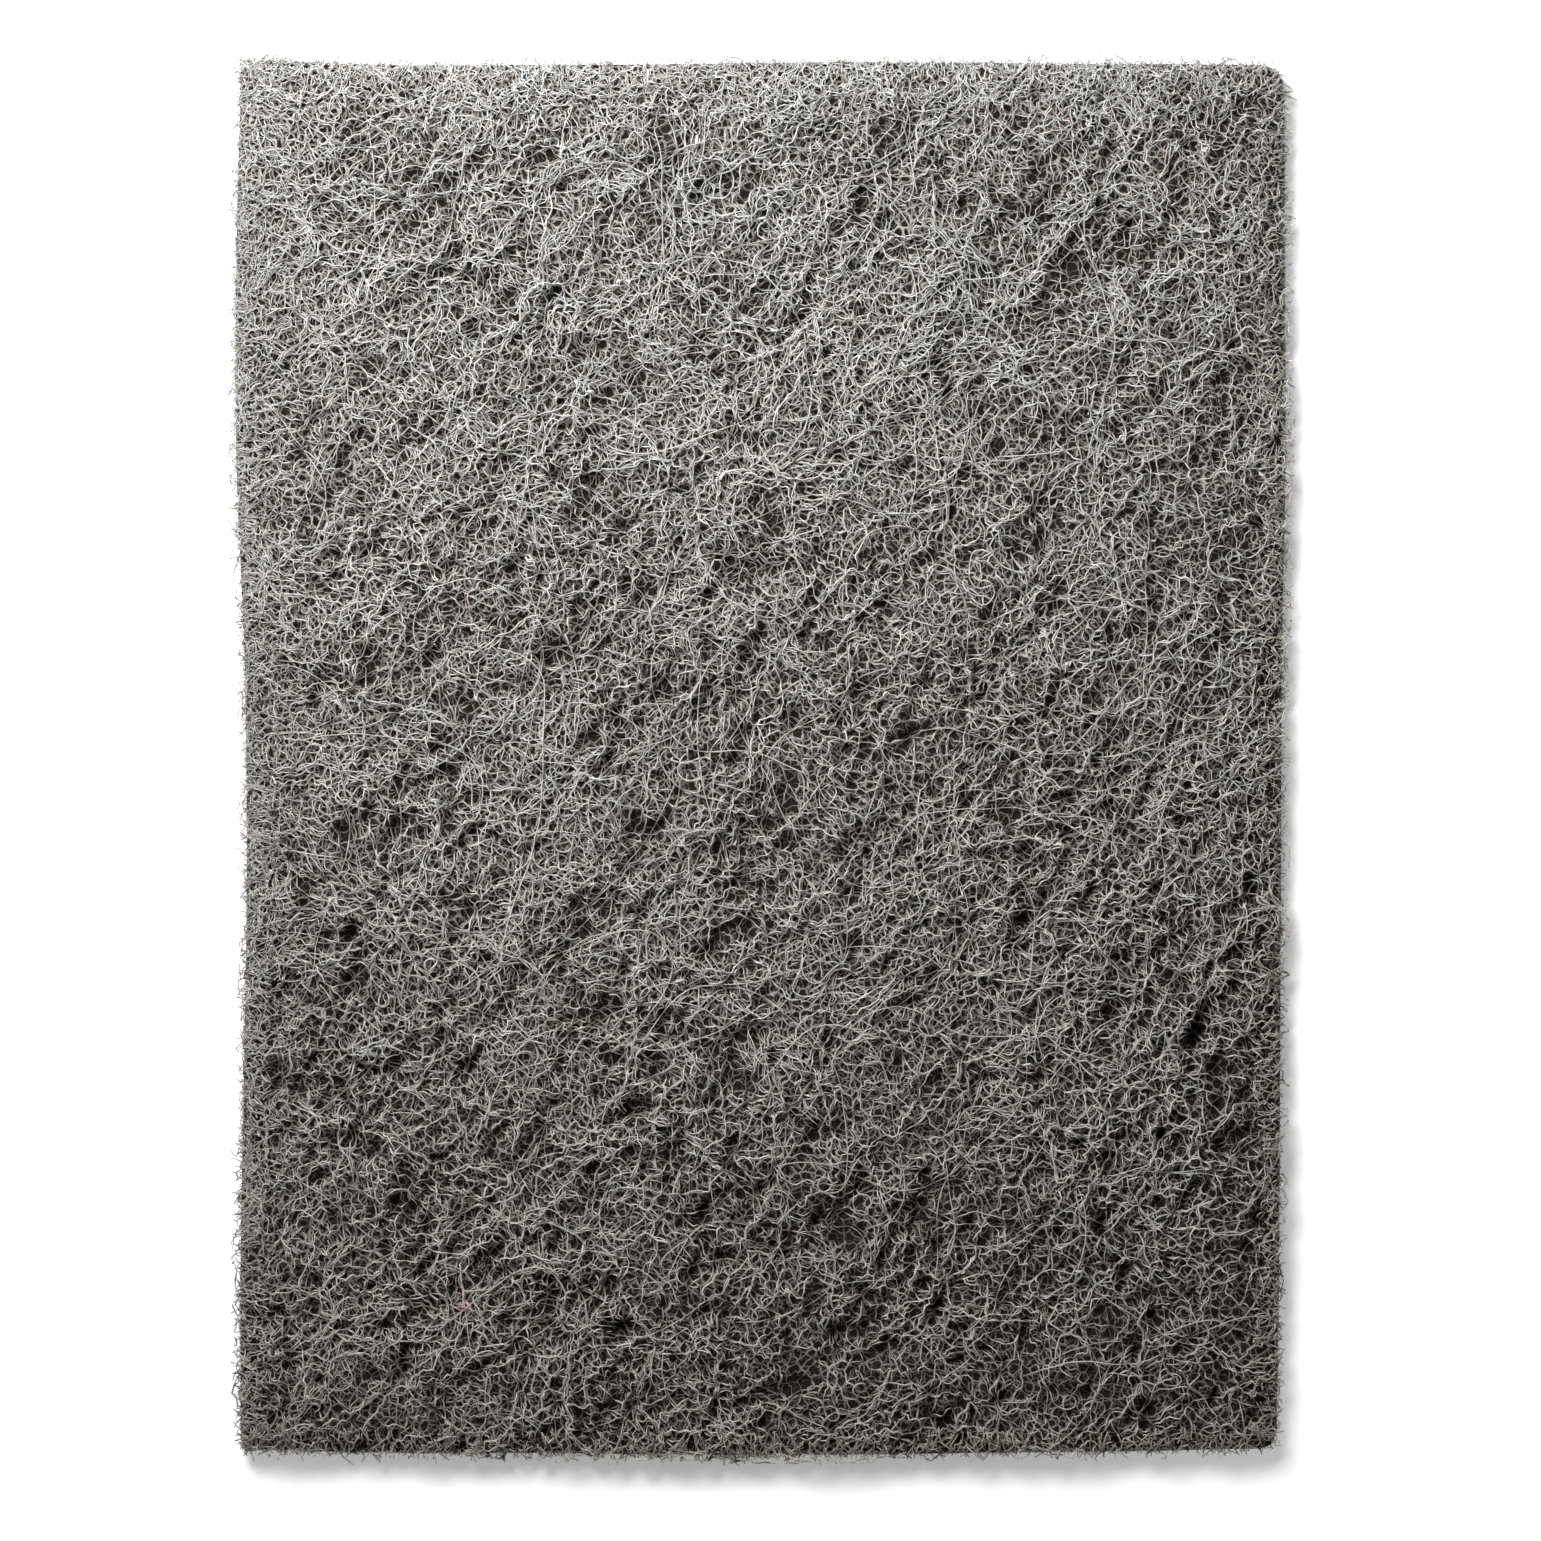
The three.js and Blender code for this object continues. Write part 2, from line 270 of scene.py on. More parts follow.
class Grid:
    """An even grid of places, with values that are blended in between."""

    def __init__(self, low, high, pitch):
        self.low = np.array(low)
        self.pitch = pitch
        self.shape = tuple(math.ceil((high[a] - low[a]) / pitch) + 1 for a in (1, 0))
        self.x = low[0] + pitch * np.arange(self.shape[1])
        self.y = low[1] + pitch * np.arange(self.shape[0])
        self.mesh = np.meshgrid(self.x, self.y)

    def read(self, values, x, y):
        column = np.clip((x - self.low[0]) / self.pitch, 0, self.shape[1] - GRID_END)
        row = np.clip((y - self.low[1]) / self.pitch, 0, self.shape[0] - GRID_END)
        i = column.astype(int)
        j = row.astype(int)
        u = column - i
        v = row - j
        near = values[j, i] * (1 - u) + values[j, i + 1] * u
        far = values[j + 1, i] * (1 - u) + values[j + 1, i + 1] * u
        return near * (1 - v) + far * v


def cad_arrays():
    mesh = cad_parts[NODE].data
    mesh.calc_loop_triangles()
    places = np.array([vertex.co for vertex in mesh.vertices], float) / MM
    return places, np.array([triangle.vertices for triangle in mesh.loop_triangles])


def weld(places, corners):
    """The same triangles on vertices that neighbours share."""
    _, first, shared = np.unique(
        np.round(places, WELD_DIGITS), axis=0, return_index=True, return_inverse=True)
    return places[first], shared.reshape(-1)[corners]


def silhouette(places, corners):
    """The pad's outline from above, counter-clockwise, where faces turn from up to down."""
    a, b, c = (places[corners[:, k]] for k in range(3))
    up = np.cross(b - a, c - a)[:, 2] > TINY
    edges = np.concatenate([corners[:, [0, 1]], corners[:, [1, 2]], corners[:, [2, 0]]])
    facing = np.tile(up, 3)
    edges.sort(axis=1)
    order = np.lexsort((edges[:, 1], edges[:, 0]))
    edges = edges[order]
    facing = facing[order]
    pairs = np.all(edges[0::2] == edges[1::2], axis=1)
    turning = pairs & (facing[0::2] != facing[1::2])
    rim = places[np.unique(edges[0::2][turning])]
    return rim[np.argsort(np.arctan2(rim[:, 1], rim[:, 0]))]


def edge_distance(rim, x, y):
    """Distance from each place to the outline, positive inside."""
    start = rim[:, :2]
    side = np.roll(start, -1, axis=0) - start
    squared = np.sum(side * side, axis=1)
    nearest = np.full(x.shape, np.inf)
    for (px, py), (sx, sy), size in zip(start, side, squared):
        t = np.clip(((x - px) * sx + (y - py) * sy) / size, 0, 1)
        nearest = np.minimum(nearest, (x - px - t * sx) ** 2 + (y - py - t * sy) ** 2)
    angle = np.arctan2(y, x)
    rim_angle = np.arctan2(start[:, 1], start[:, 0])
    k = (np.searchsorted(rim_angle, angle, side="right") - 1) % len(rim)
    ahead = side[k, 0] * (y - start[k, 1]) - side[k, 1] * (x - start[k, 0])
    return np.sqrt(nearest) * np.where(ahead >= 0, 1, -1)


def bell(reach):
    """Weights of a bell curve of that reach, in grid steps."""
    span = int(BELL_REACHES * reach)
    weights = np.exp(-0.5 * (np.arange(-span, span + 1) / reach) ** 2)
    return weights / weights.sum()


def blurred(values, reach, stretch):
    """Values averaged with a bell curve of that reach, in grid steps, wider along the rows."""
    for weights in (bell(reach), bell(reach * stretch)):
        span = len(weights) // 2
        padded = np.pad(values, ((span, span), (0, 0)), mode="edge")
        values = sum(w * padded[k:k + values.shape[0]] for k, w in enumerate(weights)).T
    return values


class Pad:
    """The solid's top face and outline as grids, with the web's clumps and pores."""

    def __init__(self):
        places, corners = weld(*cad_arrays())
        self.tree = BVHTree.FromPolygons([Vector(p) for p in places], corners.tolist())
        self.rim = silhouette(places, corners)
        self.low = places.min(axis=0)
        self.high = places.max(axis=0)
        self.grid = Grid(self.low - GRID_MARGIN, self.high + GRID_MARGIN, GRID_PITCH)
        self.fine = Grid(self.low - GRID_MARGIN, self.high + GRID_MARGIN, FINE_PITCH)
        inside = edge_distance(self.rim, *self.grid.mesh)
        height = self.top_heights(inside, self.rim[:, 2].mean())
        clumps = self.clump_noise(np.random.default_rng(CLUMP_SEED))
        pores = self.pore_field(np.random.default_rng(PORE_SEED), clumps)
        self.fields = {"inside": (self.grid, inside), "height": (self.grid, height),
                       "clumps": (self.fine, clumps), "pores": (self.fine, pores)}

    def top_heights(self, inside, outside):
        height = np.full(self.grid.shape, outside)
        down = Vector(DOWN)
        for j, y in enumerate(self.grid.y):
            for i, x in enumerate(self.grid.x):
                if inside[j, i] > 0:
                    hit = self.tree.ray_cast(Vector((x, y, RAY_HEIGHT)), down)[0]
                    if hit:
                        height[j, i] = hit.z
        return height

    def pore_field(self, rng, clumps):
        """Up to one in the middle of a pore, and nothing away from it. Clumps make it ragged."""
        x, y = self.fine.mesh
        field = np.zeros(self.fine.shape)
        for row in np.arange(self.fine.y[0], self.fine.y[-1], PORE_SPACING):
            for column in np.arange(self.fine.x[0], self.fine.x[-1], PORE_SPACING):
                px, py = np.array((column, row)) + PORE_SPACING * rng.random(2)
                radius = PORE_RADIUS[0] + (PORE_RADIUS[1] - PORE_RADIUS[0]) * rng.random() ** 2
                stretch = rng.uniform(*PORE_STRETCH)
                heading = GRAIN_ANGLE + rng.normal(0, PORE_TURN)
                strength = rng.uniform(*PORE_STRENGTH)
                i = np.abs(self.fine.x - px) < PORE_REACHES * radius * stretch
                j = np.abs(self.fine.y - py) < PORE_REACHES * radius * stretch
                part = np.ix_(j, i)
                along, across = turned_to(heading, x[part] - px, y[part] - py)
                away = ((along / stretch) ** 2 + across ** 2) / radius ** 2
                field[part] = np.maximum(field[part], strength * np.exp(-away))
        return np.clip(field * (1 - PORE_RAGGED * clumps), 0, 1)

    def clump_noise(self, rng):
        """Where the web bunches up, positive, and where it thins out, negative."""
        reach = np.linalg.norm(self.high[:2]) + GRID_MARGIN
        turned = Grid((-reach, -reach), (reach, reach), FINE_PITCH)
        total = np.zeros(turned.shape)
        for size, share, stretch in CLUMPS:
            noise = rng.normal(size=turned.shape)
            steps = size / FINE_PITCH
            noise = blurred(noise, steps, stretch) - blurred(noise, CLUMP_EVENED * steps, stretch)
            total += share * noise / noise.std()
        return turned.read(total / total.std(), *turned_to(CLUMP_ANGLE, *self.fine.mesh))

    def at(self, name, x, y):
        grid, values = self.fields[name]
        return grid.read(values, x, y)

    def slope(self, name, x, y, step):
        """How steeply a field rises there towards +X and towards +Y."""
        to_x = self.at(name, x + step, y) - self.at(name, x - step, y)
        to_y = self.at(name, x, y + step) - self.at(name, x, y - step)
        return to_x / (2 * step), to_y / (2 * step)


class Wall:
    """The pad's cut side, unrolled: along the outline and up."""

    def __init__(self, pad):
        outline = pad.rim[:, :2]
        closed = np.vstack([outline, outline[:1]])
        walked = np.concatenate([[0], np.cumsum(np.linalg.norm(np.diff(closed, axis=0), axis=1))])
        self.length = walked[-1]
        count = int(self.length / WALL_PITCH)
        along = np.arange(count) * self.length / count
        self.spots = np.stack([np.interp(along, walked, closed[:, a]) for a in (0, 1)], 1)
        ahead = np.roll(self.spots, -1, axis=0) - np.roll(self.spots, 1, axis=0)
        self.out = np.stack([ahead[:, 1], -ahead[:, 0]], 1)
        self.out /= np.linalg.norm(self.out, axis=1, keepdims=True)
        self.heights = np.linspace(WALL_FOOT, WALL_TOP, WALL_ROWS)
        inset = np.zeros((WALL_ROWS, count))
        for j, height in enumerate(self.heights):
            for i in range(count):
                out = Vector((*self.out[i], 0))
                start = Vector((*self.spots[i], height)) + WALL_DISTANCE * out
                hit = pad.tree.ray_cast(start, -out)
                inset[j, i] = hit[3] - WALL_DISTANCE if hit[0] else 0.0
        usual = np.median(inset, axis=1, keepdims=True)
        inset = np.clip(inset, usual - WALL_SWING, usual + WALL_SWING)
        beside = np.roll(inset, 1, axis=1) + np.roll(inset, -1, axis=1)
        self.inset = 0.5 * inset + 0.25 * beside

    def nearest(self, place):
        """How far along the cut the spot nearest to a place lies."""
        spot = np.argmin(np.linalg.norm(self.spots - np.array(place), axis=1))
        return self.length * spot / len(self.spots)

    def place(self, along, height, depth):
        """Places at that depth under the cut side, and which way is out there."""
        share = along / self.length % 1.0 * len(self.spots)
        before = share.astype(int) % len(self.spots)
        after = (before + 1) % len(self.spots)
        t = share - np.floor(share)
        spot, out = (values[before] * (1 - t)[..., None] + values[after] * t[..., None]
                     for values in (self.spots, self.out))
        out /= np.linalg.norm(out, axis=-1, keepdims=True)
        step = self.heights[1] - self.heights[0]
        row = np.clip((height - self.heights[0]) / step, 0, len(self.heights) - GRID_END)
        j = row.astype(int)
        low = self.inset[j, before] * (1 - t) + self.inset[j, after] * t
        high = self.inset[j + 1, before] * (1 - t) + self.inset[j + 1, after] * t
        inset = low * (1 - row + j) + high * (row - j)
        spot = spot - out * (inset + depth)[..., None]
        up = height[..., None]
        return np.concatenate([spot, up], -1), np.concatenate([out, 0 * up], -1)


pad = Pad()
wall = Wall(pad)
FACE_LOW = pad.low[:2] - NET_MARGIN
FACE_HIGH = pad.high[:2] + NET_MARGIN


def neighbours(corners):
    """The triangle across each side of each triangle, or -1 where there is none."""
    sides = np.stack([corners, np.roll(corners, -1, axis=1)], 2).reshape(-1, 2)
    sides.sort(axis=1)
    order = np.lexsort((sides[:, 1], sides[:, 0]))
    same = np.all(sides[order[:-1]] == sides[order[1:]], axis=1)
    across = np.full(len(sides), -1)
    one, other = order[:-1][same], order[1:][same]
    across[one] = other // 3
    across[other] = one // 3
    return across.reshape(-1, 3)


class Net:
    """Irregular cells in a plane. Fibres cross at the cells' corners and follow the walls between."""

    def __init__(self, seed, low, high, spacing, grain, bunched=False):
        self.rng = np.random.default_rng(seed)
        self.low = np.array(low, float)
        self.high = np.array(high, float)
        self.grain = grain
        centres = self.cell_centres(spacing)
        if bunched:
            pull = pad.slope("clumps", *centres.T, CLUMP_SLOPE_STEP)
            centres = centres + CLUMP_PULL * np.stack(pull, 1)
        flat = delaunay_2d_cdt([Vector(c) for c in centres], [], [], 0, MERGE_REACH)
        corners = np.array(flat[2])
        self.places = np.array([tuple(v) for v in flat[0]])[corners].mean(axis=1)
        self.ways = neighbours(corners)
        self.bonded = self.rng.random(len(self.places)) < BONDED_SHARE
        sides = self.places[self.ways] - self.places[:, None]
        self.step = np.mean(np.linalg.norm(sides, axis=2)[self.ways >= 0])

    def cell_centres(self, spacing):
        reach = 0.5 * np.linalg.norm(self.high - self.low)
        count = int(reach / spacing * CELL_SURPLUS) + 2
        i, j = np.meshgrid(np.arange(-count, count + 1), np.arange(-count, count + 1))
        stray = CELL_JITTER * self.rng.uniform(-1, 1, (2,) + i.shape)
        along = spacing * CELL_STRETCH * (i + 0.5 * (j % 2) + stray[0]).ravel()
        across = spacing / CELL_STRETCH * CELL_ROW * (j + stray[1]).ravel()
        centres = np.stack(turned_to(-self.grain, along, across), 1) + 0.5 * (self.low + self.high)
        within = np.all((centres > self.low) & (centres < self.high), axis=1)
        return centres[within & (self.rng.random(len(centres)) > CELLS_MISSING)]

    def walk(self, rng, cover):
        """Fibres that follow the walls, one to a row, as the corner at each step.

        cover is their length on each square mm."""
        size = np.prod(self.high - self.low)
        count = int(cover * size / (FIBRE_STEPS * self.step))
        at = rng.integers(len(self.places), size=count)
        came = np.full(count, -1)
        heading = self.grain + rng.uniform(0, 2 * math.pi, count)
        track = np.empty((count, FIBRE_STEPS), int)
        row = np.arange(count)
        for k in range(FIBRE_STEPS):
            track[:, k] = at
            ahead = self.ways[at]
            way = self.places[ahead] - self.places[at][:, None]
            way /= np.linalg.norm(way, axis=2, keepdims=True) + TINY
            score = way[..., 0] * np.cos(heading)[:, None] + way[..., 1] * np.sin(heading)[:, None]
            score += TURN_CHANCE * rng.random((count, 3))
            score[(ahead < 0) | (ahead == came[:, None])] = -np.inf
            chosen = ahead[row, np.argmax(score, axis=1)]
            came = at
            at = np.where(chosen < 0, at, chosen)
            heading = heading + HEADING_DRIFT * rng.normal(size=count)
        return track

    def lines(self, rng, track):
        """The walks as points, off the middle of the walls a little and with their corners cut."""
        points = self.places[track] + rng.normal(0, STRAY, track.shape + (2,))
        ease = rng.uniform(*EASING, (len(track), 1, 1))
        middle = points[:, 1:-1] * (1 - 2 * ease) + ease * (points[:, :-2] + points[:, 2:])
        return np.concatenate([points[:, :1], middle, points[:, -1:]], 1)


def along_noise(rng, shape, size, kept):
    """Noise of that size along each row, which keeps this share of itself at each step."""
    noise = rng.normal(size=shape)
    for k in range(1, shape[1]):
        noise[:, k] = kept * noise[:, k - 1] + math.sqrt(1 - kept * kept) * noise[:, k]
    return size * noise


def trimmed(points, inside):
    """Lines, one to a row, cut where inside is under zero, with each end moved to the cut.

    Returns the points and the run that each belongs to, or -1 where it is cut off."""
    live = inside > 0
    before = np.pad(live[:, :-1], ((0, 0), (1, 0)))
    after = np.pad(live[:, 1:], ((0, 0), (0, 1)))
    points = points.copy()
    for ends, shift in ((~live & before & ~after, 1), (~live & after & ~before, -1)):
        share = inside / (inside - np.roll(inside, shift, axis=1) - TINY)
        moved = points + (np.roll(points, shift, axis=1) - points) * share[..., None]
        points[ends] = moved[ends]
    kept = live | before | after
    follows = np.pad(kept[:, :-1], ((0, 0), (1, 0))) & ~(~live & after & ~before)
    starts = kept & ~follows
    run = np.cumsum(starts.ravel()).reshape(starts.shape) - 1
    return points, np.where(kept, run, -1)


def linked_object(name, data):
    piece = bpy.data.objects.new(name, data)
    bpy.context.scene.collection.objects.link(piece)
    return piece


def add_map(mesh, spots):
    mesh.uv_layers.new(name=MAP_NAME).data.foreach_set("uv", spots.astype(np.float32).ravel())


def map_faces(mesh, sizes):
    """A texture map that gives each face, of three or four corners, a square of its own."""
    low, high = MAP_EDGE, 1 - MAP_EDGE
    squares = math.ceil(math.sqrt(len(sizes)))
    face = np.repeat(np.arange(len(sizes)), sizes)
    corner = np.arange(len(face)) - np.repeat(np.cumsum(sizes) - sizes, sizes)
    spots = np.array([(low, low), (high, low), (high, high), (low, high)])[corner]
    add_map(mesh, (spots + np.stack([face % squares, face // squares], 1)) / squares)


def tube_mesh(name, run, points, radius, up, tint):
    """One piece of closed tubes, one along each run of points, apart from points with no run."""
    kept = run >= 0
    up = np.broadcast_to(up, points.shape)[kept]
    run, points, radius, tint = run[kept], points[kept], radius[kept], tint[kept]
    count = len(points)
    same = run[1:] == run[:-1]
    first = np.concatenate([[True], ~same])
    last = np.concatenate([~same, [True]])
    ahead = np.where(last[:, None], points, np.roll(points, -1, axis=0))
    behind = np.where(first[:, None], points, np.roll(points, 1, axis=0))
    along = ahead - behind
    along /= np.linalg.norm(along, axis=1, keepdims=True) + TINY
    side = np.cross(along, up)
    side /= np.linalg.norm(side, axis=1, keepdims=True) + TINY
    over = np.cross(side, along)
    start = SIDES * np.nonzero(same)[0][:, None]
    rings = np.empty((count, SIDES, 3))
    quads = np.empty((len(start), SIDES, 4), int)
    for k in range(SIDES):
        angle = 2 * math.pi * k / SIDES + 0.5 * math.pi
        rings[:, k] = points + radius[:, None] * (math.cos(angle) * side + math.sin(angle) * over)
        after = (k + 1) % SIDES
        quads[:, k] = start + np.array([k, SIDES + k, SIDES + after, after])
    heads = SIDES * np.nonzero(first)[0][:, None] + np.arange(SIDES)
    tails = SIDES * np.nonzero(last)[0][:, None] + np.arange(SIDES)[::-1]
    faces = quads.reshape(-1, 4).tolist() + heads.tolist() + tails.tolist()
    mesh = bpy.data.meshes.new(name)
    mesh.from_pydata((rings * MM).reshape(-1, 3).tolist(), [], faces, shade_flat=False)
    map_faces(mesh, np.array([len(face) for face in faces]))
    colours = mesh.attributes.new("tint", "FLOAT_COLOR", "POINT")
    rgba = np.ones((count, SIDES, 4), np.float32)
    rgba[:, :, :3] = tint[:, None, :]
    colours.data.foreach_set("color", rgba.ravel())
    return linked_object(name, mesh)


def inward(x, y):
    """Which way leads into the pad there, straight from its outline."""
    return pad.slope("inside", x, y, SLOPE_STEP)


def openness(x, y):
    """How open the web is there: it opens towards one corner."""
    share = 0.5 + OPEN_TO_X * x / pad.high[0] - OPEN_TO_Y * y / pad.high[1]
    return np.clip(share, 0, 1) ** 2


def far_side(x, y):
    """Nothing along the sides at -X and +Y, where the web is fine, and one along the two others."""
    return smooth_step(0.5 - FAR_SLOPE * y / pad.high[1] + FAR_SLOPE * x / pad.high[0])


def fineness(x, y):
    """One at the two sides where the web is fine up to the cut, and nothing away from them."""
    return (1 - far_side(x, y)) * (1 - smooth_step(pad.at("inside", x, y) / RIM_WIDTH))


def upper_gaps(x, y):
    """Share of the upper fibres that are missing there."""
    sparse = SPARSE_UPPER * openness(x, y) + SPARSE_PORES * pad.at("pores", x, y)
    return sparse + SPARSE_FINE * fineness(x, y)


def middle_gaps(x, y):
    return SPARSE_MIDDLE * openness(x, y) + SPARSE_FINE_MIDDLE * fineness(x, y)


def rim_gaps(x, y):
    return 1.0 - fineness(x, y)


def strand_gaps(x, y):
    return SPARSE_FINE * fineness(x, y)


def unevenness(x, y):
    """How much deeper the web lies there, which evens out at the rim."""
    full = UNEVEN_MIDDLE - UNEVEN_TO_Y * y / pad.high[1] - UNEVEN_FINE * fineness(x, y)
    hollow = DEEPEST_SINK * np.tanh(np.maximum(-pad.at("clumps", x, y), 0) / DEEPEST_SINK)
    return full * (PORE_DEPTH * pad.at("pores", x, y) + CLUMP_SINK * hollow)


def face_height(x, y):
    """Height of the face's web, which goes on level over the cut."""
    short = np.maximum(FACE_HOLD - pad.at("inside", x, y), 0)
    way = inward(x, y)
    return pad.at("height", x + short * way[0], y + short * way[1])


def fibre_tints(rng, shape):
    """Colours along each fibre, with paler and darker fibres and stretches, and a few reddish specks."""
    shade = np.exp(rng.normal(0, OWN_SHADE, (shape[0], 1)) + along_noise(rng, shape, *SHADE))
    warm = OWN_WARMTH * rng.normal(size=(shape[0], 1)) + along_noise(rng, shape, *WARMTH)
    green = along_noise(rng, shape, *GREEN)
    hue = warm[..., None] * WARM_HUE + green[..., None] * GREEN_HUE
    speck = along_noise(rng, shape, 1.0, SPECK_KEPT) > SPECK_RARITY
    hue += speck[..., None] * SPECK_HUE
    return np.clip(shade[..., None] * (1 + hue) * BASE_TINT, *TINT_LIMITS)


def painted_depth_shade(below, y):
    """Painted shade and bounce light: fibres are darker and warmer the deeper they lie, and more so
    towards -Y.
    """
    strength = DEPTH_SHADE - DEPTH_SHADE_TO_Y * y / pad.high[1]
    shade = 1.0 - strength * smooth_step((below - DEPTH_START) / DEPTH_SPAN)
    return shade[..., None] ** DEPTH_BOUNCE_HUE


def tone(x, y):
    """The face is browner towards -Y, paler along the side at +Y as painted light where that edge faces
    the key lamp, and reddish at one spot.
    """
    near = np.exp(-((x - STAIN[0]) ** 2 + (y - STAIN[1]) ** 2) / STAIN[2] ** 2)
    brown = 1 - y[..., None] / pad.high[1] * BROWN_HUE
    # Painted light along the side at +Y, which faces the key lamp
    along_top = smooth_step(1 - (pad.high[1] - y) / RIM_WIDTH)
    level = 1 + fineness(x, y) * (RIM_PAINTED_LIGHT * along_top - RIM_DULLNESS)
    return level[..., None] * brown + near[..., None] * STAIN_HUE


def painted_cut_tints(rng, places, levels):
    """Colours of fibres at the cut side, with painted light: dull on the near sides that the key lamp
    strikes, and paler and browner, as painted warm bounce light, on its two far sides in shade.
    """
    far = far_side(places[..., 0], places[..., 1])[..., None]
    level = levels[0] + (levels[1] - levels[0]) * far
    return fibre_tints(rng, places.shape[:2]) * level * (1 + far * FAR_BOUNCE_HUE)


def net_depths(rng, net, track, depth):
    """How far under the face each fibre lies at each step. Bonded crossings share one depth."""
    own = rng.uniform(*depth, (len(track), 1)) + along_noise(rng, track.shape, *NET_SWAY)
    crossing = net.rng.uniform(*depth, len(net.places))[track]
    return np.where(net.bonded[track], BOND_SLACK * own + (1 - BOND_SLACK) * crossing, own)


def net_radii(rng, net, track, radius):
    """Fibre radii, thicker where resin holds a crossing."""
    own = rng.uniform(*radius, (len(track), 1)) * rng.uniform(*NET_SWELL, track.shape)
    return own * np.where(net.bonded[track], BOND_SWELL, 1.0)


def face_trimmed(rng, points, gaps):
    """Lines over the top face, cut near the pad's outline and where gaps leaves none of them."""
    x, y = points[..., 0], points[..., 1]
    overhang = rng.normal(*OVERHANG, (len(points), 1))
    left = GAP_GAIN * (rng.random((len(points), 1)) - gaps(x, y))
    return trimmed(points, np.minimum(pad.at("inside", x, y) + overhang, left))


def face_web(name, seed, net, cover, gaps, depth, radius, rim_sink=RIM_SINK):
    """Fibres of the top face. gaps gives the share of them that is missing at a place."""
    rng = np.random.default_rng(seed)
    track = net.walk(rng, cover)
    points = net.lines(rng, track)
    closed = 1 - WANDER_LOST * openness(points[..., 0], points[..., 1])
    wander = np.stack([along_noise(rng, track.shape, 1.0, WANDER_KEPT) for _ in range(2)], -1)
    points = points + WANDER * closed[..., None] * wander
    points, run = face_trimmed(rng, points, gaps)
    x, y = points[..., 0], points[..., 1]
    below = net_depths(rng, net, track, depth) + unevenness(x, y) + rim_sink * fineness(x, y)
    z = face_height(x, y) - np.maximum(below, -STAND_UP)
    places = np.stack([x, y, np.maximum(z, FACE_LOWEST)], -1)
    radii = net_radii(rng, net, track, radius)
    # Painted shade by depth, and painted light along the side at +Y through tone
    tint = fibre_tints(rng, track.shape) * painted_depth_shade(below, y) * tone(x, y)
    # Crossings that resin holds are paler, partly for resin and partly as a painted glint
    tint *= np.where(net.bonded[track], BOND_PALENESS_AND_GLINT, 1.0)[..., None]
    return tube_mesh(name, run, places, radii, UP, tint)


def curved_lines(rng, cover, step, bend, spread):
    """Curves all over the pad, one to a row, which start within that spread of the grain and bend."""
    count = int(cover * np.prod(FACE_HIGH - FACE_LOW) / (CURVE_STEPS * step))
    heading = GRAIN_ANGLE + rng.uniform(-spread, spread, (count, 1))
    heading = heading + np.cumsum(along_noise(rng, (count, CURVE_STEPS), bend, CURVE_KEPT), axis=1)
    way = step * np.stack([np.cos(heading), np.sin(heading)], -1)
    return rng.uniform(FACE_LOW, FACE_HIGH, (count, 2))[:, None] + np.cumsum(way, axis=1)


def loose_strands(name, seed, cover, step, bend, spread, depth, radius):
    """Fibres that cross the cells of the top face in curves."""
    rng = np.random.default_rng(seed)
    points, run = face_trimmed(rng, curved_lines(rng, cover, step, bend, spread), strand_gaps)
    x, y = points[..., 0], points[..., 1]
    below = rng.uniform(*depth, (len(x), 1)) + along_noise(rng, x.shape, *STRAND_SWAY)
    below += unevenness(x, y) + RIM_SINK * fineness(x, y)
    places = np.stack([x, y, face_height(x, y) - np.maximum(below, -STAND_UP)], -1)
    radii = rng.uniform(*radius, (len(x), 1)) * rng.uniform(*STRAND_SWELL, x.shape)
    # Painted shade by depth, and painted light along the side at +Y through tone
    tint = fibre_tints(rng, x.shape) * painted_depth_shade(below, y) * tone(x, y)
    return tube_mesh(name, run, places, radii, UP, tint)


def wall_web(name, seed, net, cover, depth, radius):
    """Fibres of the cut side."""
    rng = np.random.default_rng(seed)
    track = net.walk(rng, cover)
    points = net.lines(rng, track)
    along, height = points[..., 0], points[..., 1]
    beside = np.minimum(along, wall.length - along)
    room = np.minimum(beside, np.minimum(height - SIDE_FOOT, WALL_TOP - height))
    points, run = trimmed(points, room + rng.normal(0, SIDE_RAGGED, (len(track), 1)))
    height = np.maximum(points[..., 1], FLOOR_CLEARANCE)
    places, out = wall.place(points[..., 0], height, net_depths(rng, net, track, depth))
    radii = net_radii(rng, net, track, radius)
    tint = painted_cut_tints(rng, places, CUT_PAINTED_LEVELS)
    return tube_mesh(name, run, places, radii, out, tint)


def under_web(name, seed, cover, step, bend, height, radius):
    """Fibres of the underside, in curves."""
    rng = np.random.default_rng(seed)
    points = curved_lines(rng, cover, step, bend, math.pi)
    points, run = trimmed(points, pad.at("inside", points[..., 0], points[..., 1]) - UNDER_INSET)
    level = rng.uniform(*height, (len(run), 1)) + along_noise(rng, run.shape, *UNDER_SWAY)
    places = np.concatenate([points, np.maximum(level, FLOOR_CLEARANCE)[..., None]], -1)
    radii = rng.uniform(*radius, (len(run), 1)) * rng.uniform(*STRAND_SWELL, run.shape)
    tint = fibre_tints(rng, run.shape)
    return tube_mesh(name, run, places, radii, DOWN, tint)


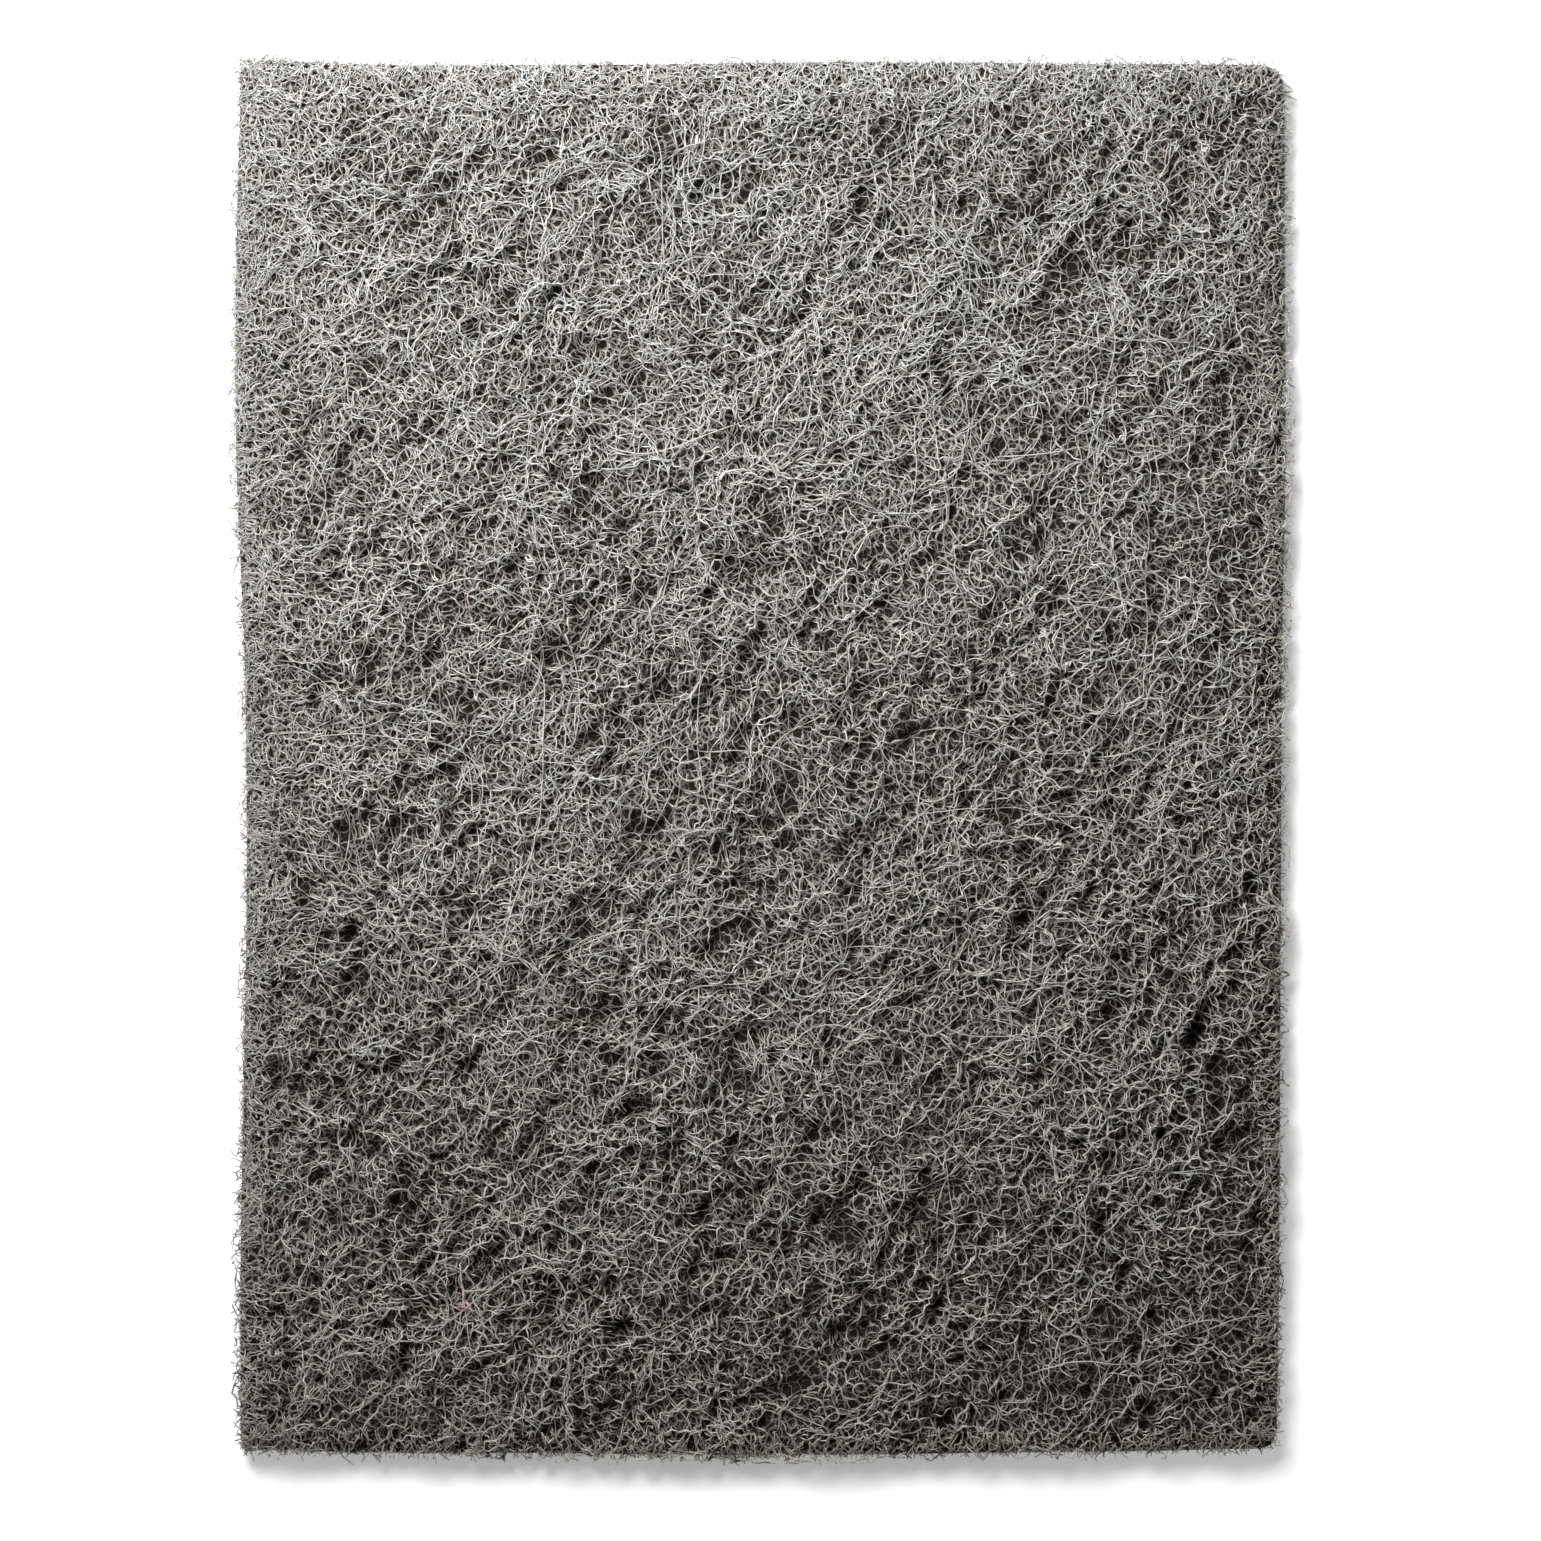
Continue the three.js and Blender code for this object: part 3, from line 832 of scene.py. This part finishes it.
def cut_ends(name, seed):
    """Fibre ends that stand out of the cut side, mostly short, with a few long hairs."""
    rng = np.random.default_rng(seed)
    hairs = len(HAIR_PLACES) + HAIRS
    count = ENDS + hairs
    along = rng.uniform(0, wall.length, count)
    for k, place in enumerate(HAIR_PLACES):
        along[k] = wall.nearest(place)
    taken = hairs
    for place, ends, spread in TUFTS:
        along[taken:taken + ends] = wall.nearest(place) + rng.normal(0, spread, ends)
        taken += ends
    height = rng.uniform(END_FOOT, WALL_TOP, count)
    reach = rng.normal(*END_REACH, count)
    reach[:hairs] = rng.uniform(*HAIR_REACH, hairs)
    lean = rng.normal(0, END_LEAN, (count, 2)) * END_SWING
    bend = rng.normal(0, END_BEND, (count, 2)) * END_SWING
    share = np.linspace(0, 1, len(END_TAPER))
    length = END_ROOT + np.maximum(reach, 0)
    depth = END_ROOT - length[:, None] * share
    travel = lean[:, None] * share[:, None] + bend[:, None] * (share * share)[:, None]
    travel *= length[:, None, None]
    height = np.clip(height[:, None] + travel[..., 1], *END_HEIGHTS)
    places = wall.place(along[:, None] + travel[..., 0], height, depth)[0]
    run = np.repeat(np.arange(count), len(share)).reshape(count, -1)
    radii = rng.uniform(*END_RADIUS, (count, 1)) * END_TAPER
    tint = painted_cut_tints(rng, places, END_PAINTED_LEVELS)
    return tube_mesh(name, run, places, radii, UP, tint)


def core_top():
    """Places of the inner mat's top, in rows that follow the pad's outline."""
    half = [0.5 * np.ptp(pad.rim[:, a]) - CORE_INSET for a in (0, 1)]
    x, y = np.meshgrid(*(np.linspace(-h, h, int(2 * h / CORE_PITCH) + 1) for h in half))
    on_rim = np.zeros(x.shape, bool)
    on_rim[[0, -1]] = True
    on_rim[:, [0, -1]] = True
    inside = pad.at("inside", x, y)
    short = np.where(on_rim, CORE_INSET - inside, np.maximum(CORE_INSET - inside, 0))
    way = inward(x, y)
    x = x + short * way[0]
    y = y + short * way[1]
    within = pad.at("inside", x, y) - CORE_INSET
    depth = CORE_RIM_DEPTH + (CORE_DEPTH - CORE_RIM_DEPTH) * smooth_step(within / CORE_RIM_WIDTH)
    dip = smooth_step(within / CORE_DIP_WIDTH) * unevenness(x, y)
    upper = np.maximum(pad.at("height", x, y) - depth - dip, CORE_RIM_HEIGHT)
    return np.stack([x, y, np.where(on_rim, CORE_RIM_HEIGHT, upper)], 2)


def core_underside(rim):
    """The inner mat's plain underside: its places, and triangles that count the rim's points first."""
    ring = rim[::2] + np.stack(inward(*rim[::2].T), 1)
    low = ring.min(axis=0) + CORE_LOW_PITCH
    high = ring.max(axis=0) - 0.5 * CORE_LOW_PITCH
    lines = [np.arange(low[a], high[a], CORE_LOW_PITCH) for a in (0, 1)]
    spots = np.concatenate([ring, np.stack(np.meshgrid(*lines), -1).reshape(-1, 2)])
    sides = [(k, (k + 1) % len(rim)) for k in range(len(rim))]
    flat = delaunay_2d_cdt([Vector(p) for p in np.concatenate([rim, spots])], sides, [], 1, MERGE_REACH)
    came_from = np.array([source[0] for source in flat[3]])
    return spots, came_from[np.array(flat[2])][:, ::-1]


def core_mesh():
    """The dark inner mat: a closed lumpy slab under the fibres, dark as painted shade of the deep web.
    """
    top = core_top()
    places = top.reshape(-1, 3)
    index = np.arange(len(places)).reshape(top.shape[:2])
    loop = np.concatenate([index[0, :-1], index[:-1, -1], index[-1, :0:-1], index[:0:-1, 0]])
    spots, under = core_underside(places[loop, :2])
    number = np.concatenate([loop, len(places) + np.arange(len(spots))])
    places = np.concatenate([places, np.pad(spots, ((0, 0), (0, 1)), constant_values=CORE_LOW)])
    quads = np.stack([index[:-1, :-1], index[:-1, 1:], index[1:, 1:], index[1:, :-1]], 2).reshape(-1, 4)
    mesh = bpy.data.meshes.new("inner_mat")
    faces = quads.tolist() + number[under].tolist()
    mesh.from_pydata((places * MM).tolist(), [], faces, shade_flat=False)
    # Sunk darkens the mat's felt in pores, hollows and the open corner: painted shade
    sunk = mesh.attributes.new("sunk", "FLOAT", "POINT")
    values = smooth_step(unevenness(*places[:, :2].T) / PORE_DEPTH)
    values = np.maximum(values, CORE_OPEN_SHADE * openness(*places[:, :2].T))
    sunk.data.foreach_set("value", values.astype(np.float32))
    across = (places[:, :2] - pad.low[:2]) / (pad.high[:2] - pad.low[:2])
    corners = np.empty(len(mesh.loops), np.int32)
    mesh.loops.foreach_get("vertex_index", corners)
    spots = across[corners] * CORE_MAP_SIZE + CORE_MAP_EDGE
    spots[quads.size:, 0] += CORE_MAP_SHIFT
    add_map(mesh, spots)
    return linked_object("inner_mat", mesh)


def new_material(name):
    material = bpy.data.materials.new(name)
    material.use_nodes = True
    tree = material.node_tree
    return material, tree, tree.nodes["Principled BSDF"]


def set_inputs(node, values):
    for name, value in values.items():
        node.inputs[name].default_value = value


def place_in(tree):
    return tree.nodes.new("ShaderNodeTexCoord").outputs["Object"]


def attribute(tree, name, output):
    node = tree.nodes.new("ShaderNodeAttribute")
    node.attribute_name = name
    return node.outputs[output]


def noise_in(tree, place, scale, output):
    node = tree.nodes.new("ShaderNodeTexNoise")
    node.inputs["Scale"].default_value = scale
    tree.links.new(place, node.inputs["Vector"])
    return node.outputs[output]


def ranged(tree, value, results, values=(0.0, 1.0)):
    """What runs between the two results while the value runs between the two values."""
    node = tree.nodes.new("ShaderNodeMapRange")
    set_inputs(node, {"From Min": values[0], "From Max": values[1],
                      "To Min": results[0], "To Max": results[1]})
    tree.links.new(value, node.inputs["Value"])
    return node.outputs["Result"]


def combined(tree, operation, one, other, clamped=False):
    node = tree.nodes.new("ShaderNodeMath")
    node.operation = operation
    node.use_clamp = clamped
    tree.links.new(one, node.inputs[0])
    tree.links.new(other, node.inputs[1])
    return node.outputs["Value"]


def add_relief(tree, shader, height, strength, distance):
    node = tree.nodes.new("ShaderNodeBump")
    set_inputs(node, {"Strength": strength, "Distance": distance})
    tree.links.new(height, node.inputs["Height"])
    tree.links.new(node.outputs["Normal"], shader.inputs["Normal"])


def fibre_material():
    """Fibre in the colour of its tint, with the fine roughness of abrasive grain."""
    material, tree, shader = new_material("fleece_fibre")
    grain = noise_in(tree, place_in(tree), GRAIN_SCALE, "Fac")
    colour = tree.nodes.new("ShaderNodeMix")
    colour.data_type = "RGBA"
    colour.blend_type = "MULTIPLY"
    colour.inputs["Factor"].default_value = 1.0
    tree.links.new(attribute(tree, "tint", "Color"), colour.inputs["A"])
    tree.links.new(ranged(tree, grain, GRAIN_LEVELS), colour.inputs["B"])
    tree.links.new(colour.outputs["Result"], shader.inputs["Base Color"])
    tree.links.new(ranged(tree, grain, FIBRE_ROUGHNESS), shader.inputs["Roughness"])
    add_relief(tree, shader, grain, *GRAIN_RELIEF)
    shader.inputs["Specular IOR Level"].default_value = FIBRE_SPECULAR
    return material


def felt_lines(tree):
    """Layers of a net of bent lines, the upper layers paler and the deeper ones darker as painted shade,
    and nothing in the gaps between.
    """
    place = place_in(tree)
    bent = tree.nodes.new("ShaderNodeVectorMath")
    bent.operation = "MULTIPLY_ADD"
    bent.inputs[1].default_value = (FELT_BEND,) * 3
    tree.links.new(noise_in(tree, place, FELT_BEND_SCALE, "Color"), bent.inputs[0])
    tree.links.new(place, bent.inputs[2])
    felt = None
    for scale, paleness in FELT_LAYERS:
        cells = tree.nodes.new("ShaderNodeTexVoronoi")
        cells.voronoi_dimensions = "2D"
        cells.feature = "DISTANCE_TO_EDGE"
        cells.inputs["Scale"].default_value = scale
        tree.links.new(bent.outputs["Vector"], cells.inputs["Vector"])
        line = ranged(tree, cells.outputs["Distance"], (paleness, 0.0), FELT_LINE)
        felt = line if felt is None else combined(tree, "MAXIMUM", felt, line)
    return felt


def core_material():
    """Deep fibres over dark gaps, both painted dark as the shade of the deep web. In the hollows the
    layers lose paleness as painted shade, so only the upper ones are still seen.
    """
    material, tree, shader = new_material("fleece_inside")
    felt = felt_lines(tree)
    # The felt loses paleness where the mat is sunk: painted shade
    lost = ranged(tree, attribute(tree, "sunk", "Fac"), (0.0, FELT_HOLLOW_SHADE))
    ramp = tree.nodes.new("ShaderNodeValToRGB")
    ramp.color_ramp.elements[0].color = FELT_GAP_SHADE_COLOUR
    ramp.color_ramp.elements[1].color = FELT_COLOUR
    tree.links.new(combined(tree, "SUBTRACT", felt, lost, clamped=True), ramp.inputs["Fac"])
    tree.links.new(ramp.outputs["Color"], shader.inputs["Base Color"])
    tree.links.new(ranged(tree, felt, FELT_ROUGHNESS), shader.inputs["Roughness"])
    add_relief(tree, shader, felt, *FELT_RELIEF)
    shader.inputs["Specular IOR Level"].default_value = FELT_SPECULAR
    return material


def make_webs():
    """All pieces of fibres. Their depths, heights and radii are ranges."""
    face = {"low": FACE_LOW, "high": FACE_HIGH, "grain": GRAIN_ANGLE}
    upper = Net(seed=11, spacing=0.94, bunched=True, **face)
    middle = Net(seed=12, spacing=0.98, bunched=True, **face)
    rim = Net(seed=16, spacing=0.66, **face)
    side = Net(seed=14, low=(-NET_MARGIN, -WALL_NET_MARGIN), spacing=0.9, grain=0.0,
               high=(wall.length + NET_MARGIN, WALL_TOP + WALL_NET_MARGIN))
    upper_kind = {"net": upper, "cover": 0.90, "gaps": upper_gaps, "radius": (0.062, 0.09)}
    middle_kind = {"net": middle, "cover": 0.80, "gaps": middle_gaps, "radius": (0.062, 0.092)}
    return [
        loose_strands("strands", seed=100, cover=0.30, step=1.3, bend=0.16, spread=0.6,
                      depth=(-0.05, 0.7), radius=(0.055, 0.078)),
        loose_strands("curls", seed=110, cover=0.45, step=0.45, bend=0.32, spread=math.pi,
                      depth=(0.0, 0.9), radius=(0.062, 0.09)),
        face_web("upper_web_1", seed=101, depth=(0.0, 0.6), **upper_kind),
        face_web("upper_web_2", seed=102, depth=(0.0, 0.8), **upper_kind),
        face_web("middle_web_1", seed=103, depth=(0.3, 1.0), **middle_kind),
        face_web("middle_web_2", seed=104, depth=(0.4, 1.2), **middle_kind),
        face_web("rim_web", seed=109, net=rim, cover=4.8, gaps=rim_gaps,
                 depth=(-0.15, 0.35), radius=(0.05, 0.072), rim_sink=0.0),
        wall_web("side_web", seed=106, net=side, cover=3.6, depth=(0.0, 0.8), radius=(0.06, 0.09)),
        cut_ends("cut_ends", seed=107),
        under_web("under_web", seed=108, cover=0.40, step=1.0, bend=0.42,
                  height=(0.2, 0.6), radius=(0.085, 0.12)),
    ]


fibre = fibre_material()
for web in make_webs():
    web.data.materials.append(fibre)
    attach(web, "root")
core = core_mesh()
core.data.materials.append(core_material())
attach(core, "root")
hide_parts(NODE)


def seen_directly(tree):
    """One for rays from the camera and for those that a mirror or glass sends on."""
    path = tree.nodes.new("ShaderNodeLightPath")
    seen = path.outputs["Is Camera Ray"]
    for name in ("Is Glossy Ray", "Is Transmission Ray"):
        seen = combined(tree, "MAXIMUM", seen, path.outputs[name])
    return seen


def make_stage():
    """A pale floor that looks white away from the pad and keeps its shadow."""
    mesh = bpy.data.meshes.new("floor")
    ways = ((-1, -1), (1, -1), (1, 1), (-1, 1))
    mesh.from_pydata([(FLOOR_HALF * x, FLOOR_HALF * y, 0) for x, y in ways], [], [(0, 1, 2, 3)])
    floor = linked_object("floor", mesh)
    floor.location.z = -FLOOR_DROP
    material, tree, shader = new_material("pale_floor")
    set_inputs(shader, {"Base Color": FLOOR_COLOUR, "Roughness": FLOOR_ROUGHNESS,
                        "Specular IOR Level": 0.0, "Emission Color": WHITE})
    away = tree.nodes.new("ShaderNodeVectorMath")
    away.operation = "LENGTH"
    tree.links.new(place_in(tree), away.inputs[0])
    glow = ranged(tree, away.outputs["Value"], FLOOR_GLOW, FLOOR_GLOW_REACH)
    seen = combined(tree, "MULTIPLY", seen_directly(tree), glow)
    tree.links.new(seen, shader.inputs["Emission Strength"])
    mesh.materials.append(material)


def area_lamp(name, watts, size, spread, place, target):
    """A square lamp, with sizes and places in metres and its spread in degrees."""
    lamp = bpy.data.lights.new(name, "AREA")
    lamp.shape = "SQUARE"
    lamp.size = size
    lamp.energy = watts
    lamp.spread = math.radians(spread)
    piece = linked_object(name, lamp)
    piece.location = place
    aim = Vector(target) - Vector(place)
    piece.rotation_euler = aim.to_track_quat("-Z", "Y").to_euler()


def make_lights():
    world = bpy.data.worlds.new("studio")
    bpy.context.scene.world = world
    world.use_nodes = True
    tree = world.node_tree
    background = tree.nodes["Background"]
    background.inputs["Color"].default_value = WHITE
    tree.links.new(ranged(tree, seen_directly(tree), WORLD_GLOW), background.inputs["Strength"])
    area_lamp("key", watts=0.73, size=0.16, spread=95,
              place=(-0.10, 0.168, 0.235), target=(-0.02, 0.085, 0.0))
    area_lamp("fill", watts=0.58, size=0.30, spread=180,
              place=(0.33, -0.33, 0.08), target=(0.0, 0.0, 0.0))


def make_camera():
    data = bpy.data.cameras.new("camera")
    data.lens = CAMERA_LENS
    data.sensor_width = SENSOR_WIDTH
    camera = linked_object("camera", data)
    distance = FRAME_WIDTH * CAMERA_LENS / SENSOR_WIDTH + FRAME_LEVEL
    camera.location = (FRAME_SHIFT[0] * MM, FRAME_SHIFT[1] * MM, distance * MM)
    bpy.context.scene.camera = camera


make_stage()
make_lights()
make_camera()
bpy.context.scene.view_settings.view_transform = "Standard"
